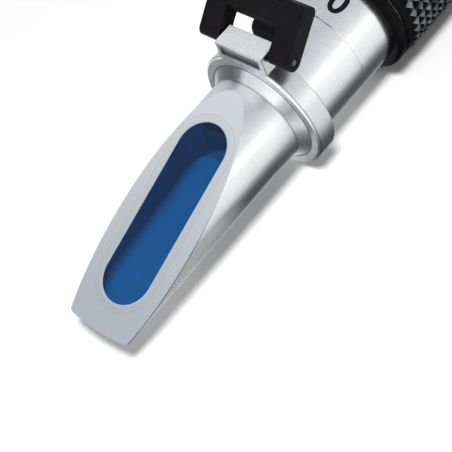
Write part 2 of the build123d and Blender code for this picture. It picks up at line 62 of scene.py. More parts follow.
# The neck behind the nose, and the collar with the painted highlight on its front edge and the
# painted shade of the gap inside it
NECK_LENGTH = 1.9
COLLAR_RADIUS = 14.5
EDGE_LENGTH = 0.45
GAP_RADIUS = 12.55

# Satin metal: how far its tone and its roughness vary
METAL_LIGHT = 1.08
METAL_DARK = 0.88
METAL_CLOUDS = 0.35
METAL_SPECKS = 0.65
METAL_SPECK_EDGE = (0.25, 0.75)
METAL_ROUGH_GRAIN = 0.03
METAL_ROUGH_STREAKS = 0.015
METAL_STRETCH = (0.5, 3.0, 3.0)

# Painted reflection and shade: tones by degrees from the top towards -Y, on the neck and on the
# collar's front
NECK_REFLECTION_BANDS = (
    (-60, 0.70),
    (-42, 0.30),
    (-28, 0.19),
    (-16, 0.22),
    (-8, 0.50),
    (0, 1.00),
    (42, 0.92),
    (50, 0.52),
    (60, 0.36),
    (68, 0.60),
    (78, 1.00),
)
FRONT_REFLECTION_BANDS = (
    (-60, 0.42),
    (-12, 0.40),
    (4, 0.85),
    (20, 1.00),
    (44, 1.00),
    (62, 0.80),
    (90, 0.66),
    (130, 0.62),
)
# Their tint, and the streaks in them: least tone, most tone, and the noise that gives each
BAND_TINT = (0.98, 1.0, 1.03)
BAND_STREAKS = (0.80, 1.0, 0.35, 0.60)

# The slanted face: how near it the grey finish starts, and its greys from the collar to the tip
FACE_EDGE = (-0.08, -0.03)
FACE_FADE = (4, 52)
FACE_NEAR = (0.70, 0.73, 0.75)
FACE_TIP = (0.49, 0.525, 0.57)
FACE_ROUGHNESS = 0.55
FACE_METALLIC = 0.35
# The fine line on it round the window, and the dark rim of painted shade along its -Y side towards
# the tip
WINDOW_LINE = 1.62
WINDOW_LINE_EDGE = (0.03, 0.12)
WINDOW_LINE_STRENGTH = 0.45
WINDOW_LINE_GREY = (0.30, 0.33, 0.36)
RIM_REACH = (10.16, 10.30)
RIM_FADE = (24, 36)
RIM_SHADE_GREY = (0.08, 0.085, 0.10)

# The nose: painted shade underneath, behind the tip
UNDERSIDE_SHADE_TURN = (1.66, 1.95)
UNDERSIDE_SHADE_FADE = (-34, -27)
UNDERSIDE_SHADE_GREY = (0.50, 0.51, 0.53)
# Its neck, and the painted shade along the crease in front of that
NECK_EDGE = (-NECK_LENGTH - 0.05, -NECK_LENGTH + 0.05)
NECK_STRETCH = (0.25, 2.4, 2.4)
NECK_SMOOTH = 0.26
NECK_ROUGH = 0.40
CREASE_EDGE = (0.05, 0.22)
CREASE_STRENGTH = 0.6
CREASE_SHADE_GREY = (0.22, 0.23, 0.25)
# Its rear end: rougher all round, and less mirror-like near the top
REAR_FADE = (-10, -3)
REAR_ROUGHNESS = 0.38
LIT_START = (-0.12, 0.06)
LIT_END = (0.32, 0.60)
LIT_FADE = (-6.5, -3.5)
LIT_METALLIC = 0.42

# The collar: its front face, the painted highlight on the edge behind that, and the fine line of
# painted shade behind the edge
FRONT_EDGE = (0.01, 0.04)
FRONT_ROUGHNESS = 0.42
FRONT_STRETCH = (2.4, 0.5, 0.5)
BRIGHT_START = (0.03, 0.08)
BRIGHT_END = (0.26, 0.36)
BRIGHT_REACH = (COLLAR_RADIUS + 0.1, COLLAR_RADIUS + 0.2)
EDGE_HIGHLIGHT_GREY = (0.93, 0.94, 0.95)
BEHIND_EDGE = (0.04, 0.16)
BEHIND_STRENGTH = 0.7
BEHIND_SHADE_GREY = (0.24, 0.25, 0.26)
# The painted shade of the gap round the neck, on the collar's front
GAP_REACH = (GAP_RADIUS - 0.12, GAP_RADIUS)
GAP_SHADE_GREY = (0.10, 0.105, 0.11)
# Its recess under the lug, darkened with painted shade, and the lug's blasted finish
RECESS_START = (0.30, 0.45)
RECESS_END = (0.55, 0.60)
RECESS_HEIGHT = (13.5, 14.0)
RECESS_SHADE_GREY = (0.24, 0.25, 0.26)
LUG_HEIGHT = (COLLAR_RADIUS + 2.9, COLLAR_RADIUS + 3.3)
LUG_DARK = (0.66, 0.68, 0.69)
LUG_LIGHT = (0.84, 0.85, 0.86)
LUG_ROUGHNESS = 0.60
LUG_METALLIC = 0.30

# The seal: its shade of the slanted face's grey, and its pale inner edge
SEAL_SHADE = 0.80
SEAL_EDGE = (0.05, 0.50)
SEAL_BLUE = (0.40, 0.52, 0.62)

# Moulded plastic and rubber: how far tone and roughness vary, and where the rubber's painted sheen
# shows in patches
MOULD_LIGHT = 1.35
MOULD_LIFT = 0.002
MOULD_ROUGH_GRAIN = 0.07
SHEEN_PATCH_EDGE = (0.38, 0.62)
SHEEN_BASE_BLACK = (0.008, 0.008, 0.010)
SHEEN_PATCH_GREY = (0.17, 0.175, 0.185)

# The prism: where its floor, side and exit are, its colours, among them painted shade and painted
# light, and how near the slanted face the paint ends
PRISM_FLOOR = -5.68
PRISM_SIDE = 5.8
PRISM_EXIT_X = -11.9
PRISM_EXIT_TOP = 5.2
PRISM_TIP_DEPTH = 2.98
# The paint's own blue, then the navy of painted shade, the lighter exit blue of painted light and
# the corner's black of painted shade
PRISM_BLUE = (0.0003, 0.052, 0.179)
PRISM_SHADE_NAVY = (0.0003, 0.0245, 0.112)
EXIT_LIT_BLUE = (0.014, 0.150, 0.420)
CORNER_SHADE_BLACK = (0.001, 0.006, 0.018)
COATING = (0.42, 0.70, 1.0)
CLOUD_LIGHT = 1.12
LEDGE_SHADE = 0.35
PAINT_EDGE = (-0.06, -0.02)
# The navy of painted shade and the dark corner of painted shade lie by shares of the prism's height
# and width, and the ledge's painted shade and the exit's painted light by mm
NAVY_EDGE = (-0.22, -0.02)
CORNER_SIDE = (0.0, 0.16)
CORNER_RISE = (0.005, 0.02)
CORNER_STRENGTH = 0.5
LEDGE_START = (PRISM_EXIT_X + 0.05, PRISM_EXIT_X + 0.15)
LEDGE_HEIGHT = (PRISM_EXIT_TOP - 0.10, PRISM_EXIT_TOP - 0.05)
EXIT_EDGE = (PRISM_EXIT_X - 0.02, PRISM_EXIT_X - 0.005)

# Knurling: rows along the grip, pyramids round it, mesh steps across one, its depth, how much
# steeper than a full pyramid each one is, so that its tip is flat, and the angle that stays sharp
KNURL_ROWS = 23
KNURL_COUNT = 40
KNURL_STEPS = 4
KNURL_DEPTH = 0.55
KNURL_STEEPER = 1.12
KNURL_SHARP = math.radians(28)
# The grip's bore, the length of each smooth end, how far its lip is below the knurling's tips,
# the outline of an end as length from it and drop below the lip, and the ring of its groove,
# which gets a painted highlight
GRIP_BORE = 11.87
GRIP_END = 4.85
LIP_DROP = 0.45
LIP_OUTLINE = (
    (0.0, 0.9),
    (0.08, 0.5),
    (0.32, 0.2),
    (0.7, 0.03),
    (1.0, 0.0),
    (2.2, 0.0),
    (2.4, 0.05),
    (2.45, 0.45),
    (2.8, 0.45),
    (2.85, 0.05),
    (3.0, 0.0),
    (4.4, 0.0),
    (4.6, 0.12),
)
GROOVE_RING = 8

# Printed numbers: their middle along the tube, how far they stand proud of it and go into it,
# and their mesh
PRINT_TEXT = "0-32"
PRINT_SIZE = 7.6
PRINT_BOLD = 0.16
PRINT_X = 26.0
PRINT_LIFT = 0.015
PRINT_CURVE_STEPS = 6
PRINT_LONGEST_EDGE = 0.7
PRINT_MOST_CUTS = 6

# Floor, in metres: its white to the camera and to other rays, and its glow to the camera
FLOOR_SIZE = 3.0
FLOOR_SEEN = 1.0
FLOOR_WHITE = 0.90
FLOOR_GLOW = 0.02
# Gloss sees the floor glow in tones, a painted reflection, by the distance from the axis's line, as
# a share of a reach in metres
GLOSS_REACH = 0.1
FLOOR_IN_GLOSS = (
    (0.000, (0.95, 0.95, 0.95)),
    (0.045, (0.85, 0.85, 0.85)),
    (0.065, (0.52, 0.52, 0.52)),
    (0.082, (0.30, 0.30, 0.30)),
    (0.100, (0.12, 0.122, 0.126)),
    (0.150, (0.09, 0.095, 0.10)),
    (0.180, (0.12, 0.125, 0.13)),
    (0.230, (0.32, 0.325, 0.33)),
    (0.300, (0.85, 0.85, 0.85)),
    (0.380, (1.00, 1.00, 1.00)),
    (1.000, (1.15, 1.15, 1.15)),
)
# The painted dark strip is lighter under the nose: its least light, and where it starts and is full
TIP_STRIP = (0.46, -11.0, -21.0)
# Towards +Y their strength has two steps: each from one value to another, between two places
# in metres
NEAR_STEP = (1.0, 0.50, 0.045, 0.075)
FAR_STEP = (0.0, 0.30, 0.16, 0.22)

# World: matt things see one grey, and gloss sees tones by the angle round the X axis, where 0.5
# is level towards -Y, 0.75 is straight up and 1 is level towards +Y
AMBIENT = 0.30
SKY_IN_GLOSS = (
    (0.500, (0.95, 0.95, 0.95)),
    (0.506, (1.00, 1.00, 1.00)),
    (0.518, (1.75, 1.75, 1.74)),
    (0.532, (1.75, 1.75, 1.74)),
    (0.560, (1.15, 1.15, 1.14)),
    (0.590, (0.93, 0.93, 0.93)),
    (0.630, (0.80, 0.81, 0.82)),
    (0.690, (0.66, 0.68, 0.70)),
    (0.900, (0.60, 0.64, 0.68)),
    (0.970, (0.66, 0.68, 0.70)),
    (1.000, (0.76, 0.76, 0.76)),
)
# It also sees a dark panel on the -X, +Y side and a bright one on the -X, -Y side, each where
# the X and the Y of its direction go past these edges
DARK_PANEL = 0.20
DARK_PANEL_X = (-0.45, -0.65)
DARK_PANEL_Y = (0.05, 0.30)
BRIGHT_PANEL = 1.30
BRIGHT_PANEL_X = (-0.70, -0.85)
BRIGHT_PANEL_Y = (-0.02, 0.14)

# Key lamp, in metres and watts
KEY_PLACE = (-0.15, -0.255, 0.720)
KEY_AIM = (-0.03, 0, 0.01)
KEY_SIZE = 0.17
KEY_WATTS = 4.9

# Camera: its place, its directions, and its lens and sensor
CAMERA_PLACE = (-104.858, -162.060, 199.872)
RIGHT = Vector((0.6256, -0.7227, -0.2939))
DOWN = Vector((-0.7190, -0.3876, -0.5770))
AHEAD = Vector((0.3030, 0.5722, -0.7621))
CAMERA_LENS = 110.4
CAMERA_SENSOR = 36.0
CAMERA_CLIP = 10.0


# Node helpers
def grey(tone):
    return (tone, tone, tone)


def add(tree, kind, **values):
    """A new node. A value whose name starts with in_ goes to the input of that name or number."""
    node = tree.nodes.new(kind)
    for name, value in values.items():
        if name.startswith("in_"):
            key = name[3:]
            node.inputs[int(key) if key.isdigit() else key.replace("_", " ")].default_value = value
        else:
            setattr(node, name, value)
    return node


def new_material(name, colour, roughness, metallic=0.0):
    material = bpy.data.materials.new(name)
    material.use_nodes = True
    tree = material.node_tree
    shader = tree.nodes["Principled BSDF"]
    shader.inputs["Base Color"].default_value = (*colour, 1)
    shader.inputs["Roughness"].default_value = roughness
    shader.inputs["Metallic"].default_value = metallic
    return material, tree, shader


def coords(tree, stretch=(1, 1, 1)):
    """Object coordinates in millimetres, stretched."""
    place = add(tree, "ShaderNodeTexCoord")
    mapping = add(tree, "ShaderNodeMapping")
    mapping.inputs["Scale"].default_value = tuple(s / MM for s in stretch)
    tree.links.new(place.outputs["Object"], mapping.inputs["Vector"])
    return mapping.outputs["Vector"]


def noise(tree, vector, scale, detail=3.0, roughness=0.55):
    node = add(tree, "ShaderNodeTexNoise", in_Scale=scale, in_Detail=detail, in_Roughness=roughness)
    tree.links.new(vector, node.inputs["Vector"])
    return node.outputs["Fac"]


def spread(tree, value, low, high, in_low=0.3, in_high=0.7):
    """From low at in_low to high at in_high, and level beyond both."""
    node = add(tree, "ShaderNodeMapRange")
    node.inputs["From Min"].default_value = in_low
    node.inputs["From Max"].default_value = in_high
    node.inputs["To Min"].default_value = low
    node.inputs["To Max"].default_value = high
    tree.links.new(value, node.inputs["Value"])
    return node.outputs["Result"]


def rising(tree, value, edge):
    """0 before a soft edge, and 1 after it."""
    return spread(tree, value, 0, 1, *edge)


def falling(tree, value, edge):
    """1 before a soft edge, and 0 after it."""
    return spread(tree, value, 1, 0, *edge)


def math_node(tree, operation, first, second=None):
    node = add(tree, "ShaderNodeMath", operation=operation)
    for index, value in enumerate((first, second)):
        if value is None:
            continue
        if isinstance(value, (int, float)):
            node.inputs[index].default_value = value
        else:
            tree.links.new(value, node.inputs[index])
    return node.outputs[0]


def times(tree, first, *others):
    for other in others:
        first = math_node(tree, "MULTIPLY", first, other)
    return first


def plus(tree, first, second):
    return math_node(tree, "ADD", first, second)


def minus(tree, first, second):
    return math_node(tree, "SUBTRACT", first, second)


def across(tree, first, second):
    """The long side over two short ones."""
    squares = plus(tree, times(tree, first, first), times(tree, second, second))
    return math_node(tree, "SQRT", squares)


def blend(tree, factor, first, second):
    """A plain value between two others."""
    kept = times(tree, first, minus(tree, 1.0, factor))
    return plus(tree, kept, times(tree, factor, second))


def fine_line(tree, value, at, edge, strength):
    """The strength at a place, and 0 beyond a soft edge on each side of it."""
    off = math_node(tree, "ABSOLUTE", minus(tree, value, at))
    return spread(tree, off, strength, 0, *edge)


def mix_colour(tree, factor, first, second):
    node = add(tree, "ShaderNodeMix", data_type="RGBA")
    for index, colour in ((6, first), (7, second)):
        if isinstance(colour, tuple):
            node.inputs[index].default_value = (*colour, 1)
        else:
            tree.links.new(colour, node.inputs[index])
    tree.links.new(factor, node.inputs[0])
    return node.outputs[2]


def ramp_colour(tree, share, stops):
    """A colour by a share from 0 to 1, from stops of shares and colours."""
    node = add(tree, "ShaderNodeValToRGB")
    ramp = node.color_ramp
    while len(ramp.elements) < len(stops):
        ramp.elements.new(0.5)
    for element, (at, colour) in zip(ramp.elements, stops):
        element.position = at
        element.color = (*colour, 1)
    tree.links.new(share, node.inputs["Fac"])
    return node.outputs["Color"]


def bump(tree, shader, height, distance):
    node = add(tree, "ShaderNodeBump", in_Strength=1.0, in_Distance=distance * MM)
    tree.links.new(height, node.inputs["Height"])
    tree.links.new(node.outputs["Normal"], shader.inputs["Normal"])


def value_of(shader, socket):
    """What feeds a shader's socket: its link, or its own plain value."""
    links = shader.inputs[socket].links
    return links[0].from_socket if links else shader.inputs[socket].default_value


# Where a point of a surface is, for the materials
def from_axis(tree):
    """Object coordinates in mm from the collar's front face and the tube's axis: x, y, z."""
    place = add(tree, "ShaderNodeTexCoord")
    shift = add(tree, "ShaderNodeVectorMath", operation="SUBTRACT")
    shift.inputs[1].default_value = (FACE_X, 0, AXIS_Z)
    tree.links.new(place.outputs["Object"], shift.inputs[0])
    size = add(tree, "ShaderNodeVectorMath", operation="SCALE", in_Scale=1 / MM)
    tree.links.new(shift.outputs["Vector"], size.inputs[0])
    split = add(tree, "ShaderNodeSeparateXYZ")
    tree.links.new(size.outputs["Vector"], split.inputs["Vector"])
    return split.outputs["X"], split.outputs["Y"], split.outputs["Z"]


def turn_from_top(tree, y, z):
    """The angle round the axis from its top towards -Y."""
    return math_node(tree, "ARCTAN2", times(tree, y, -1.0), z)


def from_slant(tree, x, z):
    """Millimetres down the slanted face, and over it."""
    rise = minus(tree, z, SLANT_HEIGHT)
    down = plus(tree, times(tree, x, -math.cos(SLANT)), times(tree, rise, -math.sin(SLANT)))
    over = plus(tree, times(tree, x, -math.sin(SLANT)), times(tree, rise, math.cos(SLANT)))
    return down, over


def from_window(tree, down, y):
    """Millimetres outside the window's outline, along the slanted face."""
    along = math_node(tree, "ABSOLUTE", minus(tree, down, WINDOW_MIDDLE))
    along = math_node(tree, "MAXIMUM", minus(tree, along, WINDOW_HALF_STRAIGHT), 0.0)
    return minus(tree, across(tree, along, y), WINDOW_HALF_WIDTH)


# Colours that two materials share
def face_grey(tree, down):
    """The slanted face's grey: darker and bluer towards the tip."""
    return mix_colour(tree, rising(tree, down, FACE_FADE), FACE_NEAR, FACE_TIP)


def painted_bands(tree, turn, bands, streak):
    """Tones of painted reflection and shade that change round the axis, with fine streaks in them.
    """
    share = spread(tree, turn, 0, 1, -math.pi, math.pi)
    stops = [((at + 180) / 360, tuple(tone * tint for tint in BAND_TINT)) for at, tone in bands]
    product = add(tree, "ShaderNodeMix", data_type="RGBA", blend_type="MULTIPLY", in_0=1.0)
    tree.links.new(ramp_colour(tree, share, stops), product.inputs[6])
    tree.links.new(spread(tree, streak, *BAND_STREAKS), product.inputs[7])
    return product.outputs[2]


# Metals
def satin_metal(name, colour, roughness, grain=0.004):
    """Nickel-plated and finely blasted metal."""
    material, tree, shader = new_material(name, colour, roughness, metallic=1.0)
    fine = noise(tree, coords(tree), scale=7.0, detail=1.0)
    streak = noise(tree, coords(tree, METAL_STRETCH), scale=2.4, detail=2.0)
    cloud = noise(tree, coords(tree), scale=0.12, detail=2.0)
    speck = noise(tree, coords(tree), scale=3.2, detail=1.0)
    light = tuple(min(1.0, c * METAL_LIGHT) for c in colour)
    dark = tuple(c * METAL_DARK for c in colour)
    patch = plus(
        tree,
        spread(tree, cloud, 0, METAL_CLOUDS),
        spread(tree, speck, 0, METAL_SPECKS, *METAL_SPECK_EDGE),
    )
    tree.links.new(mix_colour(tree, patch, dark, light), shader.inputs["Base Color"])
    rough = plus(
        tree,
        spread(tree, fine, roughness - METAL_ROUGH_GRAIN, roughness + METAL_ROUGH_GRAIN),
        spread(tree, streak, -METAL_ROUGH_STREAKS, METAL_ROUGH_STREAKS),
    )
    tree.links.new(rough, shader.inputs["Roughness"])
    bump(tree, shader, fine, grain)
    return material


def nose_metal():
    """The nose's satin metal, with a flat grey finish on its slanted face and a coarser neck, and
    with painted reflection and shade in bands round the neck, and painted shade underneath, along
    the crease and on the face's -Y rim.
    """
    material = satin_metal("nose satin", (0.80, 0.81, 0.83), roughness=0.26, grain=0.003)
    tree = material.node_tree
    shader = tree.nodes["Principled BSDF"]
    x, y, z = from_axis(tree)
    down, over = from_slant(tree, x, z)
    reach = across(tree, y, z)
    turn = turn_from_top(tree, y, z)
    neck = rising(tree, x, NECK_EDGE)
    face = times(tree, rising(tree, over, FACE_EDGE), minus(tree, 1.0, neck))

    # The slanted face's fine line round the window, and its dark rim of painted shade
    outside = from_window(tree, down, y)
    line = fine_line(tree, outside, WINDOW_LINE, WINDOW_LINE_EDGE, WINDOW_LINE_STRENGTH)
    rim_shade = times(
        tree,
        rising(tree, reach, RIM_REACH),
        rising(tree, down, RIM_FADE),
        math_node(tree, "LESS_THAN", y, 0.0),
    )
    flat = mix_colour(tree, line, face_grey(tree, down), WINDOW_LINE_GREY)
    flat = mix_colour(tree, rim_shade, flat, RIM_SHADE_GREY)

    # Round the nose: painted shade on the underside, the neck's bands of painted reflection and
    # shade, and painted shade along the crease in front of them
    # Painted shade on the underside behind the tip
    underside_shade = times(tree, rising(tree, turn, UNDERSIDE_SHADE_TURN), rising(tree, x, UNDERSIDE_SHADE_FADE))
    streak = noise(tree, coords(tree, NECK_STRETCH), scale=1.6, detail=4.0, roughness=0.7)
    # Painted shade: a dark line along the crease
    crease_shade = fine_line(tree, x, -NECK_LENGTH, CREASE_EDGE, CREASE_STRENGTH)
    colour = mix_colour(tree, underside_shade, value_of(shader, "Base Color"), UNDERSIDE_SHADE_GREY)
    # Painted reflection and shade in bands round the neck
    colour = mix_colour(tree, neck, colour, painted_bands(tree, turn, NECK_REFLECTION_BANDS, streak))
    colour = mix_colour(tree, crease_shade, colour, CREASE_SHADE_GREY)
    tree.links.new(mix_colour(tree, face, colour, flat), shader.inputs["Base Color"])

    rear = rising(tree, x, REAR_FADE)
    grain = noise(tree, coords(tree), scale=2.2)
    rough = blend(tree, rear, value_of(shader, "Roughness"), REAR_ROUGHNESS)
    rough = blend(tree, neck, rough, spread(tree, grain, NECK_SMOOTH, NECK_ROUGH))
    tree.links.new(blend(tree, face, rough, FACE_ROUGHNESS), shader.inputs["Roughness"])

    lit = times(
        tree, rising(tree, turn, LIT_START), falling(tree, turn, LIT_END), rising(tree, x, LIT_FADE)
    )
    metallic = blend(tree, lit, 1.0, LIT_METALLIC)
    tree.links.new(blend(tree, face, metallic, FACE_METALLIC), shader.inputs["Metallic"])
    return material


def collar_metal():
    """The collar's satin metal: painted reflection and shade in bands on its front, a painted
    highlight on its edge, painted shade behind that, in the gap and in the recess, and blasted on
    the lug.
    """
    material = satin_metal("collar satin", (0.70, 0.71, 0.73), roughness=0.30, grain=0.003)
    tree = material.node_tree
    shader = tree.nodes["Principled BSDF"]
    x, y, z = from_axis(tree)
    reach = across(tree, y, z)
    front = falling(tree, x, FRONT_EDGE)
    # Painted shade in the gap round the neck
    gap_shade = times(tree, front, falling(tree, reach, GAP_REACH))
    # Painted highlight on the edge behind the front face
    edge = times(
        tree,
        rising(tree, x, BRIGHT_START),
        falling(tree, x, BRIGHT_END),
        falling(tree, reach, BRIGHT_REACH),
    )
    # Painted shade: a fine dark line behind the edge
    behind_shade = fine_line(tree, x, EDGE_LENGTH, BEHIND_EDGE, BEHIND_STRENGTH)
    # Painted shade in the recess under the lug
    recess_shade = times(
        tree,
        rising(tree, x, RECESS_START),
        falling(tree, x, RECESS_END),
        rising(tree, z, RECESS_HEIGHT),
    )
    lug = rising(tree, z, LUG_HEIGHT)

    scratch = noise(tree, coords(tree, FRONT_STRETCH), scale=2.6, detail=4.0, roughness=0.7)
    # Painted reflection and shade in bands round the collar's front
    painted_light = painted_bands(tree, turn_from_top(tree, y, z), FRONT_REFLECTION_BANDS, scratch)
    grain = noise(tree, coords(tree), scale=2.2)
    blasted = mix_colour(tree, spread(tree, grain, 0, 1), LUG_DARK, LUG_LIGHT)
    colour = mix_colour(tree, edge, value_of(shader, "Base Color"), EDGE_HIGHLIGHT_GREY)
    colour = mix_colour(tree, behind_shade, colour, BEHIND_SHADE_GREY)
    colour = mix_colour(tree, front, colour, painted_light)
    colour = mix_colour(tree, gap_shade, colour, GAP_SHADE_GREY)
    colour = mix_colour(tree, recess_shade, colour, RECESS_SHADE_GREY)
    tree.links.new(mix_colour(tree, lug, colour, blasted), shader.inputs["Base Color"])

    rough = blend(tree, front, value_of(shader, "Roughness"), FRONT_ROUGHNESS)
    tree.links.new(blend(tree, lug, rough, LUG_ROUGHNESS), shader.inputs["Roughness"])
    tree.links.new(blend(tree, lug, 1.0, LUG_METALLIC), shader.inputs["Metallic"])
    return material


# Plastic and rubber
def seal_grey():
    """The seal: the slanted face's own grey, with a pale blue inner edge."""
    material, tree, shader = new_material("seal grey", grey(0.5), roughness=0.6)
    x, y, z = from_axis(tree)
    down, _ = from_slant(tree, x, z)
    inner = falling(tree, from_window(tree, down, y), SEAL_EDGE)
    shade = add(tree, "ShaderNodeVectorMath", operation="SCALE", in_Scale=SEAL_SHADE)
    tree.links.new(face_grey(tree, down), shade.inputs[0])
    colour = mix_colour(tree, inner, shade.outputs["Vector"], SEAL_BLUE)
    tree.links.new(colour, shader.inputs["Base Color"])
    bump(tree, shader, noise(tree, coords(tree), scale=5.0), 0.005)
    return material


def moulded(name, colour, roughness, scale=6.0, depth=0.01, specular=0.5):
    """Moulded plastic or rubber with a fine texture."""
    material, tree, shader = new_material(name, colour, roughness)
    shader.inputs["Specular IOR Level"].default_value = specular
    fine = noise(tree, coords(tree), scale)
    cloud = noise(tree, coords(tree), scale=0.25)
    light = tuple(c * MOULD_LIGHT + MOULD_LIFT for c in colour)
    clouded = mix_colour(tree, spread(tree, cloud, 0, 1), colour, light)
    tree.links.new(clouded, shader.inputs["Base Color"])
    rough = spread(tree, fine, roughness - MOULD_ROUGH_GRAIN, roughness + MOULD_ROUGH_GRAIN)
    tree.links.new(rough, shader.inputs["Roughness"])
    bump(tree, shader, fine, depth)
    return material


def sheen_rubber():
    """Black rubber with a painted sheen: grey in patches."""
    material, tree, shader = new_material("worn rubber", grey(0.05), roughness=0.42)
    shader.inputs["Specular IOR Level"].default_value = 0.3
    # Painted sheen in patches
    sheen_patches = rising(tree, noise(tree, coords(tree), scale=0.55), SHEEN_PATCH_EDGE)
    tree.links.new(mix_colour(tree, sheen_patches, SHEEN_BASE_BLACK, SHEEN_PATCH_GREY), shader.inputs["Base Color"])
    bump(tree, shader, noise(tree, coords(tree), scale=5.0), 0.005)
    return material


# Glass
def prism_paint(tree, x, y, z, over):
    """Blue on the prism's floor, navy painted shade on its +Y side and its exit, with soft changes
    between; also a dark corner and a darker ledge of painted shade, and a lighter blue of painted
    light on the exit.
    """
    above = minus(tree, z, PRISM_FLOOR)
    rise = math_node(tree, "MAXIMUM", above, plus(tree, over, PRISM_TIP_DEPTH))
    rise = math_node(tree, "DIVIDE", rise, PRISM_EXIT_TOP - PRISM_FLOOR)
    inward = math_node(tree, "DIVIDE", minus(tree, PRISM_SIDE, y), 2 * PRISM_SIDE)
    # Painted shade: navy on the +Y side, black in the corner, darker navy on the ledge; painted
    # light: a lighter blue on the exit
    navy_shade = rising(tree, minus(tree, rise, inward), NAVY_EDGE)
    corner_shade = times(tree, falling(tree, inward, CORNER_SIDE), falling(tree, rise, CORNER_RISE))
    ledge = times(tree, rising(tree, x, LEDGE_START), rising(tree, z, LEDGE_HEIGHT))
    exit_light = times(tree, rising(tree, x, EXIT_EDGE), minus(tree, 1.0, ledge))
    cloud = spread(tree, noise(tree, coords(tree), scale=0.35), 0, 1)
    blue = mix_colour(tree, cloud, PRISM_BLUE, tuple(c * CLOUD_LIGHT for c in PRISM_BLUE))
    blue = mix_colour(tree, exit_light, blue, EXIT_LIT_BLUE)
    blue = mix_colour(tree, navy_shade, blue, PRISM_SHADE_NAVY)
    blue = mix_colour(tree, ledge, blue, tuple(c * LEDGE_SHADE for c in PRISM_SHADE_NAVY))
    return mix_colour(tree, times(tree, corner_shade, CORNER_STRENGTH), blue, CORNER_SHADE_BLACK)


def painted_prism():
    """Clear glass under the slanted face, and blue paint on the prism's other faces."""
    material, tree, shader = new_material("prism glass", (0.97, 0.99, 1.0), roughness=0.0)
    shader.inputs["Transmission Weight"].default_value = 1.0
    shader.inputs["IOR"].default_value = 1.5
    shader.inputs["Specular IOR Level"].default_value = 0.15
    shader.inputs["Specular Tint"].default_value = (*COATING, 1)
    x, y, z = from_axis(tree)
    _, over = from_slant(tree, x, z)
    paint = add(tree, "ShaderNodeBsdfPrincipled", in_Roughness=0.7, in_Specular_IOR_Level=0.1)
    tree.links.new(prism_paint(tree, x, y, z, over), paint.inputs["Base Color"])
    # Lamps light the paint through the glass
    through = add(tree, "ShaderNodeBsdfTransparent")
    path = add(tree, "ShaderNodeLightPath")
    top = add(tree, "ShaderNodeMixShader")
    tree.links.new(path.outputs["Is Shadow Ray"], top.inputs[0])
    tree.links.new(shader.outputs["BSDF"], top.inputs[1])
    tree.links.new(through.outputs["BSDF"], top.inputs[2])
    whole = add(tree, "ShaderNodeMixShader")
    tree.links.new(falling(tree, over, PAINT_EDGE), whole.inputs[0])
    tree.links.new(top.outputs[0], whole.inputs[1])
    tree.links.new(paint.outputs["BSDF"], whole.inputs[2])
    tree.links.new(whole.outputs[0], tree.nodes["Material Output"].inputs["Surface"])
    return material


def clear_glass(name, colour, ior):
    """Clear glass or acrylic with faint smears."""
    material, tree, shader = new_material(name, colour, roughness=0.0)
    shader.inputs["Transmission Weight"].default_value = 1.0
    shader.inputs["IOR"].default_value = ior
    smear = noise(tree, coords(tree), scale=0.3, detail=4.0)
    rough = spread(tree, smear, low=0.0, high=0.03, in_low=0.4, in_high=0.8)
    tree.links.new(rough, shader.inputs["Roughness"])
    return material


INK = moulded("print black", (0.006, 0.006, 0.008), roughness=0.6, depth=0.002, specular=0.08)
BODY = satin_metal("body satin", (0.80, 0.81, 0.83), roughness=0.25, grain=0.003)
COLLAR = collar_metal()
NOSE = nose_metal()
STEEL = satin_metal("pin steel", (0.13, 0.13, 0.135), roughness=0.40)
BRASS = satin_metal("brass", (0.75, 0.58, 0.30), roughness=0.32)
DARK_METAL = satin_metal("black anodised", (0.03, 0.03, 0.033), roughness=0.45)
BLACK_PLASTIC = moulded("bracket black", (0.0070, 0.0062, 0.0080), roughness=0.50, specular=0.07)
RUBBER = moulded(
    "grip rubber", (0.0020, 0.0020, 0.0025), roughness=0.24, scale=3.0, depth=0.005, specular=0.04
)
SHEEN = sheen_rubber()
CAP_RUBBER = moulded("cap rubber", (0.006, 0.006, 0.007), roughness=0.55, scale=5.0, specular=0.2)
CUP_RUBBER = moulded("cup rubber", (0.014, 0.014, 0.015), roughness=0.60, scale=5.0)
BLUE = moulded("cradle blue", (0.010, 0.10, 0.33), roughness=0.55, scale=5.0, depth=0.005)
SEAL = seal_grey()
ACRYLIC = clear_glass("acrylic", (0.96, 0.98, 0.98), ior=1.49)
PRISM = painted_prism()
LENS = clear_glass("lens glass", (0.95, 0.98, 0.98), ior=1.52)

FINISHES = {
    "hinge_collar": COLLAR,
    "front_body": BODY,
    "main_tube": BODY,
    "nose_housing": NOSE,
    "nose_ring": RUBBER,
    "prism": PRISM,
    "prism_seal": SEAL,
    "prism_cradle": BLUE,
    "hinge_pin": STEEL,
    "hinge_bracket": BLACK_PLASTIC,
    "daylight_plate": ACRYLIC,
    "calibration_insert": BRASS,
    "calibration_screw": STEEL,
    "screw_cap": CAP_RUBBER,
    "lens_carrier": DARK_METAL,
    "bimetal_strip": STEEL,
    "strip_rivets": BRASS,
    "lens_cell": DARK_METAL,
    "objective_crown": LENS,
    "objective_flint": LENS,
    "cell_ring": DARK_METAL,
    "return_spring": STEEL,
    "baffles": DARK_METAL,
    "scale_holder": DARK_METAL,
    "scale_disc": LENS,
    "scale_ring": DARK_METAL,
    "rubber_grip": RUBBER,
    "rear_bush": BODY,
    "ring_clip": STEEL,
    "focus_ring": BODY,
    "eyepiece_barrel": DARK_METAL,
    "drive_pins": STEEL,
    "field_lens": LENS,
    "eye_lens": LENS,
    "lens_spacer": DARK_METAL,
    "eyepiece_retainer": DARK_METAL,
    "eyecup": CUP_RUBBER,
}
for name, material in FINISHES.items():
    piece = nodes[name]
    if not piece.material_slots:
        piece.data.materials.append(material)
    for slot in piece.material_slots:
        slot.material = material


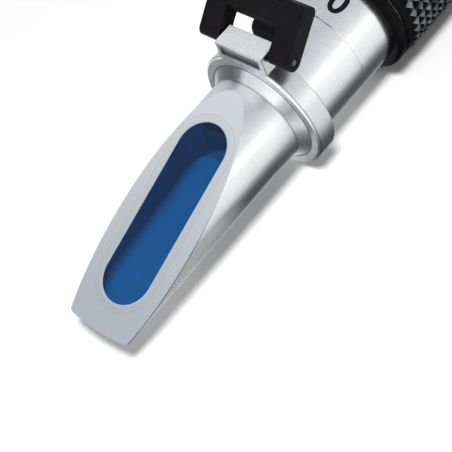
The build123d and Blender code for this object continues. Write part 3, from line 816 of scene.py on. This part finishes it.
# Rubber grip: knurled with straight rows of square pyramids
def grip_rings(around, along):
    """Rings of places along the axis and radii: one end, the knurled length and the other end."""
    low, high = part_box("rubber_grip")
    start, end, peak = low[0], high[0], high[2] - AXIS_Z
    lip = peak - LIP_DROP * MM
    valley = peak - KNURL_DEPTH * MM
    smooth = [(0.0, GRIP_BORE * MM), *((x * MM, lip - drop * MM) for x, drop in LIP_OUTLINE)]
    field_start = start + GRIP_END * MM
    field_end = end - GRIP_END * MM
    rings = [[(start + x, r)] * around for x, r in smooth]
    for i in range(along + 1):
        u = (i % KNURL_STEPS) / KNURL_STEPS
        x = field_start + (field_end - field_start) * i / along
        ring = []
        for j in range(around):
            v = (j % KNURL_STEPS) / KNURL_STEPS
            rise = min(1 - abs(2 * u - 1), 1 - abs(2 * v - 1)) if u and v else 0.0
            ring.append((x, valley + (peak - valley) * min(rise * KNURL_STEEPER, 1.0)))
        rings.append(ring)
    rings += [[(end - x, r)] * around for x, r in reversed(smooth)]
    return rings, len(smooth)


def pyramid_step(shape, row, column, corners):
    """Two triangles over one mesh step of a pyramid, cut the way its edges run."""
    half = KNURL_STEPS / 2
    same_way = (row < half) == (column < half)
    cut = ((0, 0), (1, 1)) if same_way else ((0, 1), (1, 0))
    for tip in corners:
        if tip in cut:
            continue
        three = sorted([*cut, tip], key=lambda p: math.atan2(p[0] - 0.5, p[1] - 0.5))
        face = shape.faces.new([corners[p] for p in three])
        # Painted sheen: the flanks that face round the grip are paler than those that face along it
        u = row + sum(p[0] for p in three) / 3 - half
        v = column + sum(p[1] for p in three) / 3 - half
        face.material_index = 1 if abs(v) > abs(u) else 0


def knurled_grip():
    around = KNURL_COUNT * KNURL_STEPS
    along = KNURL_ROWS * KNURL_STEPS
    rings, first_field = grip_rings(around, along)
    shape = bmesh.new()
    made = []
    for ring in rings:
        row = []
        for j, (x, r) in enumerate(ring):
            turn = 2 * math.pi * j / around
            row.append(shape.verts.new((x, r * math.sin(turn), AXIS_Z + r * math.cos(turn))))
        made.append(row)
    grooves = (GROOVE_RING, len(made) - 2 - GROOVE_RING)
    for i in range(len(made)):
        here, there = made[i], made[(i + 1) % len(made)]
        for j in range(around):
            k = (j + 1) % around
            if first_field <= i < first_field + along:
                corners = {(0, 0): here[j], (0, 1): here[k], (1, 0): there[j], (1, 1): there[k]}
                pyramid_step(shape, (i - first_field) % KNURL_STEPS, j % KNURL_STEPS, corners)
                continue
            face = shape.faces.new((here[j], here[k], there[k], there[j]))
            # The groove's rings get the painted sheen: a painted highlight line
            face.material_index = 1 if i in grooves else 0
    bmesh.ops.recalc_face_normals(shape, faces=shape.faces)
    mesh = bpy.data.meshes.new("knurled_grip")
    shape.to_mesh(mesh)
    shape.free()
    mesh.polygons.foreach_set("use_smooth", [True] * len(mesh.polygons))
    mesh.set_sharp_from_angle(angle=KNURL_SHARP)
    mesh.materials.append(RUBBER)
    mesh.materials.append(SHEEN)
    grip = bpy.data.objects.new("knurled_grip", mesh)
    bpy.context.scene.collection.objects.link(grip)
    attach(grip, "housing")
    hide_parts("rubber_grip")


knurled_grip()


# Printed numbers on the tube, read from the eyepiece's end
def flat_numbers():
    """The numbers as a flat mesh without long edges."""
    text = bpy.data.curves.new("range", "FONT")
    text.body = PRINT_TEXT
    text.size = PRINT_SIZE * MM
    text.align_x = "CENTER"
    text.offset = PRINT_BOLD * MM
    text.resolution_u = PRINT_CURVE_STEPS
    flat = bpy.data.objects.new("range", text)
    bpy.context.scene.collection.objects.link(flat)
    bpy.context.view_layer.update()
    mesh = bpy.data.meshes.new_from_object(flat)
    bpy.data.objects.remove(flat)
    shape = bmesh.new()
    shape.from_mesh(mesh)
    bmesh.ops.triangulate(shape, faces=shape.faces)
    for _ in range(PRINT_MOST_CUTS):
        long = [e for e in shape.edges if e.calc_length() > PRINT_LONGEST_EDGE * MM]
        if not long:
            break
        bmesh.ops.subdivide_edges(shape, edges=long, cuts=1)
        bmesh.ops.triangulate(shape, faces=shape.faces)
    return mesh, shape


def printed_numbers():
    """The numbers wrapped round the tube as a thin skin."""
    mesh, shape = flat_numbers()
    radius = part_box("main_tube")[1][2] - AXIS_Z
    skin = bmesh.ops.extrude_face_region(shape, geom=shape.faces[:])
    top = {v for v in skin["geom"] if isinstance(v, bmesh.types.BMVert)}
    for vert in shape.verts:
        lift = radius + (PRINT_LIFT * MM if vert in top else -PRINT_LIFT * MM)
        turn = vert.co.x / radius
        along = FACE_X + PRINT_X * MM - vert.co.y
        vert.co = (along, lift * math.sin(turn), AXIS_Z + lift * math.cos(turn))
    bmesh.ops.recalc_face_normals(shape, faces=shape.faces)
    shape.to_mesh(mesh)
    shape.free()
    mesh.materials.clear()
    mesh.materials.append(INK)
    piece = bpy.data.objects.new("printed_numbers", mesh)
    bpy.context.scene.collection.objects.link(piece)
    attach(piece, "housing")


printed_numbers()


# Floor: pale; to gloss it glows with a dark strip on each side of the object, a painted reflection
def floor_material():
    material, tree, shader = new_material("floor", grey(FLOOR_WHITE), roughness=0.9)
    shader.inputs["Specular IOR Level"].default_value = 0.0
    path = add(tree, "ShaderNodeLightPath")
    to_camera = path.outputs["Is Camera Ray"]
    white = mix_colour(tree, to_camera, grey(FLOOR_WHITE), grey(FLOOR_SEEN))
    tree.links.new(white, shader.inputs["Base Color"])
    glow = add(tree, "ShaderNodeEmission", in_Color=(*grey(FLOOR_GLOW), 1))
    tree.links.new(to_camera, glow.inputs["Strength"])
    seen = add(tree, "ShaderNodeAddShader")
    tree.links.new(shader.outputs["BSDF"], seen.inputs[0])
    tree.links.new(glow.outputs["Emission"], seen.inputs[1])

    place = add(tree, "ShaderNodeTexCoord")
    split = add(tree, "ShaderNodeSeparateXYZ")
    tree.links.new(place.outputs["Object"], split.inputs["Vector"])
    x, y = split.outputs["X"], split.outputs["Y"]
    share = spread(tree, math_node(tree, "ABSOLUTE", y), 0, 1, 0, GLOSS_REACH)
    least, strip_start, strip_full = TIP_STRIP
    strip = spread(tree, x, least, 0, FACE_X + strip_full * MM, FACE_X + strip_start * MM)
    lighter = add(tree, "ShaderNodeMix", data_type="RGBA", blend_type="LIGHTEN", in_0=1.0)
    tree.links.new(ramp_colour(tree, share, FLOOR_IN_GLOSS), lighter.inputs[6])
    tree.links.new(strip, lighter.inputs[7])
    # Painted reflection: to gloss rays the floor glows in these tones instead of showing its lit
    # look
    gloss_glow = add(tree, "ShaderNodeEmission")
    tree.links.new(lighter.outputs[2], gloss_glow.inputs["Color"])
    strength = plus(tree, spread(tree, y, *NEAR_STEP), spread(tree, y, *FAR_STEP))
    tree.links.new(strength, gloss_glow.inputs["Strength"])

    mixed = add(tree, "ShaderNodeMixShader")
    tree.links.new(path.outputs["Is Glossy Ray"], mixed.inputs[0])
    tree.links.new(seen.outputs[0], mixed.inputs[1])
    tree.links.new(gloss_glow.outputs[0], mixed.inputs[2])
    tree.links.new(mixed.outputs[0], tree.nodes["Material Output"].inputs["Surface"])
    return material


bpy.ops.mesh.primitive_plane_add(size=FLOOR_SIZE, location=(0, 0, 0))
floor = bpy.context.object
floor.name = "floor"
floor.data.materials.append(floor_material())


# World: white to the camera, a soft low light for matt things, and to gloss a bright band low
# on the -Y side that fades to grey overhead
def studio_world():
    world = bpy.data.worlds.new("studio")
    bpy.context.scene.world = world
    world.use_nodes = True
    tree = world.node_tree
    path = add(tree, "ShaderNodeLightPath")
    place = add(tree, "ShaderNodeTexCoord")
    split = add(tree, "ShaderNodeSeparateXYZ")
    tree.links.new(place.outputs["Generated"], split.inputs["Vector"])
    x, y, z = split.outputs["X"], split.outputs["Y"], split.outputs["Z"]
    angle = math_node(tree, "ARCTAN2", z, times(tree, y, -1.0))
    share = spread(tree, angle, 0, 1, -math.pi, math.pi)
    dark = times(tree, rising(tree, x, DARK_PANEL_X), rising(tree, y, DARK_PANEL_Y))
    bright = times(tree, rising(tree, x, BRIGHT_PANEL_X), falling(tree, y, BRIGHT_PANEL_Y))
    gloss = mix_colour(tree, dark, ramp_colour(tree, share, SKY_IN_GLOSS), grey(DARK_PANEL))
    gloss = mix_colour(tree, bright, gloss, grey(BRIGHT_PANEL))
    sky = mix_colour(tree, path.outputs["Is Glossy Ray"], grey(AMBIENT), gloss)
    sky = mix_colour(tree, path.outputs["Is Camera Ray"], sky, grey(1.0))
    tree.links.new(sky, tree.nodes["Background"].inputs["Color"])


studio_world()


# Key lamp: overhead in front, and not seen in gloss
def key_lamp():
    data = bpy.data.lights.new("key", "AREA")
    data.shape = "DISK"
    data.size = KEY_SIZE
    data.energy = KEY_WATTS
    lamp = bpy.data.objects.new("key", data)
    bpy.context.scene.collection.objects.link(lamp)
    lamp.location = KEY_PLACE
    aim = Vector(KEY_AIM) - Vector(KEY_PLACE)
    lamp.rotation_euler = aim.to_track_quat("-Z", "Y").to_euler()
    lamp.visible_glossy = False


key_lamp()


# Camera: at the photograph's viewing angle, rolled as the photograph is
def photo_camera():
    data = bpy.data.cameras.new("camera")
    data.sensor_width = CAMERA_SENSOR
    data.lens = CAMERA_LENS
    data.clip_start = CAMERA_CLIP * MM
    camera = bpy.data.objects.new("camera", data)
    bpy.context.scene.collection.objects.link(camera)
    x, y, z = CAMERA_PLACE
    eye = Vector((FACE_X + x * MM, y * MM, AXIS_Z + z * MM))
    turn = Matrix((RIGHT, -DOWN, -AHEAD)).transposed().to_4x4()
    camera.matrix_world = Matrix.Translation(eye) @ turn
    bpy.context.scene.camera = camera


photo_camera()
bpy.context.scene.view_settings.view_transform = "Standard"
